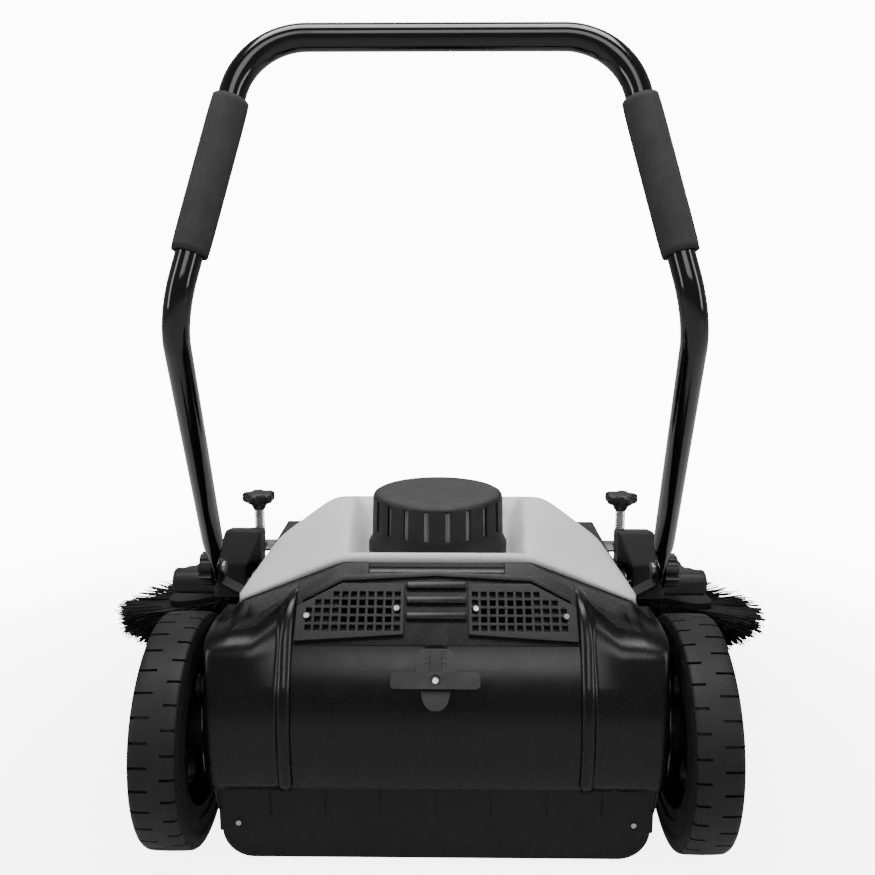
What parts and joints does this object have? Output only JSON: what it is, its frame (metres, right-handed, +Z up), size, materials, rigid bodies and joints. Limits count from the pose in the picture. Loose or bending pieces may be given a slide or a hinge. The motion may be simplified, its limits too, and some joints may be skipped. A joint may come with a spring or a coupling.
{
  "type": "walk-behind power brush sweeper",
  "caption": "Walk-behind floor sweeper: wheel-driven roller brush and angled side brushes, lift-up hood with filter cap, hopper and folding push handle.",
  "frame": {"origin": "on the floor, under the middle of the machine's overall box", "axes": "+Y forward, away from the operator; +Z up; +X to the operator's right"},
  "size_m": [0.9742, 0.6862, 0.8654],
  "materials": {
    "housing_black": "satin black moulding",
    "grille_black": "satin black moulding",
    "zinc_steel": "bright zinc",
    "bush_bronze": "sintered",
    "skirt_rubber": "matt",
    "belt_rubber": "matt",
    "hopper_plastic": "satin",
    "tube_black": "gloss powder coat",
    "grip_foam": "matt foam",
    "knob_black": "satin",
    "tyre_rubber": "matt",
    "rim_plastic": "satin",
    "cradle_steel": "black paint",
    "bristle_black": "nylon filament",
    "core_plastic": "satin",
    "arm_plastic": "satin",
    "hood_grey": "satin light grey",
    "cap_grey": "fine matt texture",
    "filter_paper": "pleated paper"
  },
  "bodies": {
    "chassis": {"left_side_wall": "housing_black", "right_side_wall": "housing_black", "front_bay": "housing_black", "rear_drum_cover": "housing_black", "left_shoulder": "housing_black", "right_shoulder": "housing_black", "vent_panel": "housing_black", "left_grille": "grille_black", "right_grille": "grille_black", "vent_louvres": "housing_black", "housing_screws": "zinc_steel", "rear_skirt": "skirt_rubber", "left_handle_bracket": "cradle_steel", "right_handle_bracket": "cradle_steel", "handle_bolts": "zinc_steel", "axle_bushes": "bush_bronze", "hopper": "hopper_plastic", "screw_brackets": "zinc_steel", "side_belts": "belt_rubber", "roller_brackets": "zinc_steel", "hood_hinge_pins": "zinc_steel"},
    "handle": {"handle_tube": "tube_black", "left_grip": "grip_foam", "right_grip": "grip_foam"},
    "left_clamp": {"left_clamp_knob": "knob_black"},
    "right_clamp": {"right_clamp_knob": "knob_black"},
    "left_wheel": {"left_tyre": "tyre_rubber", "left_rim": "rim_plastic", "left_axle": "zinc_steel", "left_roller_pulley": "rim_plastic"},
    "right_wheel": {"right_tyre": "tyre_rubber", "right_rim": "rim_plastic", "right_axle": "zinc_steel", "right_roller_pulley": "rim_plastic"},
    "cradle": {"left_cradle_arm": "cradle_steel", "right_cradle_arm": "cradle_steel", "cradle_bar": "cradle_steel", "roller_belts": "belt_rubber"},
    "roller": {"roller_shaft": "zinc_steel", "roller_core": "core_plastic", "roller_bristles": "bristle_black"},
    "height_slider": {"height_handle": "knob_black", "height_handle_screw": "zinc_steel"},
    "left_drive": {"left_cross_shaft": "zinc_steel"},
    "right_drive": {"right_cross_shaft": "zinc_steel"},
    "left_lay": {"left_lay_shaft": "zinc_steel"},
    "right_lay": {"right_lay_shaft": "zinc_steel"},
    "left_arm": {"left_brush_arm": "arm_plastic"},
    "right_arm": {"right_brush_arm": "arm_plastic"},
    "left_brush": {"left_brush_disc": "core_plastic", "left_side_bristles": "bristle_black"},
    "right_brush": {"right_brush_disc": "core_plastic", "right_side_bristles": "bristle_black"},
    "left_adjuster": {"left_adjust_knob": "knob_black"},
    "right_adjuster": {"right_adjust_knob": "knob_black"},
    "hood": {"hood_shell": "hood_grey", "filter_element": "filter_paper"},
    "cap": {"filter_cap": "cap_grey"},
    "support": {"front_rollers": "tyre_rubber"}
  },
  "joints": [
    {"name": "handle_fold", "type": "hinge", "parent": "chassis", "child": "handle", "pos_m": [0, -0.04585, 0.27], "axis": [1, 0, 0], "range_deg": [-105, 15]},
    {"name": "left_clamp_turn", "type": "hinge", "parent": "chassis", "child": "left_clamp", "pos_m": [-0.29, -0.04585, 0.27], "axis": [1, 0, 0], "continuous": true},
    {"name": "right_clamp_turn", "type": "hinge", "parent": "chassis", "child": "right_clamp", "pos_m": [0.29, -0.04585, 0.27], "axis": [1, 0, 0], "continuous": true},
    {"name": "left_wheel_spin", "type": "hinge", "parent": "chassis", "child": "left_wheel", "pos_m": [-0.2865, -0.18685, 0.13], "axis": [1, 0, 0], "continuous": true},
    {"name": "right_wheel_spin", "type": "hinge", "parent": "chassis", "child": "right_wheel", "pos_m": [0.2865, -0.18685, 0.13], "axis": [1, 0, 0], "continuous": true},
    {"name": "cradle_tilt", "type": "hinge", "parent": "chassis", "child": "cradle", "pos_m": [0, -0.18685, 0.13], "axis": [1, 0, 0], "range_deg": [-6, 0]},
    {"name": "roller_spin", "type": "hinge", "parent": "cradle", "child": "roller", "pos_m": [0, -0.12685, 0.118], "axis": [1, 0, 0], "continuous": true},
    {"name": "height_slide", "type": "slide", "parent": "chassis", "child": "height_slider", "axis": [0, 0.4848, 0.8746], "range_m": [0, 0.027]},
    {"name": "hood_open", "type": "hinge", "parent": "chassis", "child": "hood", "pos_m": [0, 0.25315, 0.24], "axis": [-1, 0, 0], "range_deg": [0, 60]},
    {"name": "cap_turn", "type": "hinge", "parent": "hood", "child": "cap", "pos_m": [0, -0.07186, 0.34], "axis": [0, 0, 1], "range_deg": [0, 60]},
    {"name": "support_roll", "type": "hinge", "parent": "chassis", "child": "support", "pos_m": [0, 0.14314, 0.026], "axis": [1, 0, 0], "continuous": true},
    {"name": "left_cross_spin", "type": "hinge", "parent": "chassis", "child": "left_drive", "pos_m": [-0.25, 0.06315, 0.215], "axis": [1, 0, 0], "continuous": true},
    {"name": "left_arm_tilt", "type": "hinge", "parent": "chassis", "child": "left_arm", "pos_m": [-0.3, 0.06315, 0.215], "axis": [-1, 0, 0], "range_deg": [0, 12]},
    {"name": "left_lay_spin", "type": "hinge", "parent": "left_arm", "child": "left_lay", "pos_m": [-0.35, 0.06315, 0.215], "axis": [0, 0.9833, -0.1822], "continuous": true},
    {"name": "left_brush_spin", "type": "hinge", "parent": "left_arm", "child": "left_brush", "pos_m": [-0.35, 0.19814, 0.18998], "axis": [-0.2068, 0.1045, 0.9728], "continuous": true},
    {"name": "left_adjust_turn", "type": "hinge", "parent": "chassis", "child": "left_adjuster", "pos_m": [-0.262, 0.13514, 0.32], "axis": [0, 0, 1], "range_deg": [0, 360]},
    {"name": "right_cross_spin", "type": "hinge", "parent": "chassis", "child": "right_drive", "pos_m": [0.25, 0.06315, 0.215], "axis": [1, 0, 0], "continuous": true},
    {"name": "right_arm_tilt", "type": "hinge", "parent": "chassis", "child": "right_arm", "pos_m": [0.3, 0.06315, 0.215], "axis": [-1, 0, 0], "range_deg": [0, 12]},
    {"name": "right_lay_spin", "type": "hinge", "parent": "right_arm", "child": "right_lay", "pos_m": [0.35, 0.06315, 0.215], "axis": [0, 0.9833, -0.1822], "continuous": true},
    {"name": "right_brush_spin", "type": "hinge", "parent": "right_arm", "child": "right_brush", "pos_m": [0.35, 0.19814, 0.18998], "axis": [0.2068, 0.1045, 0.9728], "continuous": true},
    {"name": "right_adjust_turn", "type": "hinge", "parent": "chassis", "child": "right_adjuster", "pos_m": [0.262, 0.13514, 0.32], "axis": [0, 0, 1], "range_deg": [0, 360]}
  ],
  "couplings": [
    {"joint": "roller_spin", "follows": "left_wheel_spin", "ratio": 2},
    {"joint": "height_slide", "follows": "cradle_tilt", "m_per_rad": -0.25783},
    {"joint": "left_cross_spin", "follows": "left_wheel_spin", "ratio": 2.5},
    {"joint": "left_lay_spin", "follows": "left_wheel_spin", "ratio": -2.5},
    {"joint": "left_brush_spin", "follows": "left_wheel_spin", "ratio": 2.5},
    {"joint": "left_adjust_turn", "follows": "left_arm_tilt", "ratio": 30},
    {"joint": "right_cross_spin", "follows": "right_wheel_spin", "ratio": 2.5},
    {"joint": "right_lay_spin", "follows": "right_wheel_spin", "ratio": 2.5},
    {"joint": "right_brush_spin", "follows": "right_wheel_spin", "ratio": -2.5},
    {"joint": "right_adjust_turn", "follows": "right_arm_tilt", "ratio": 30}
  ]
}
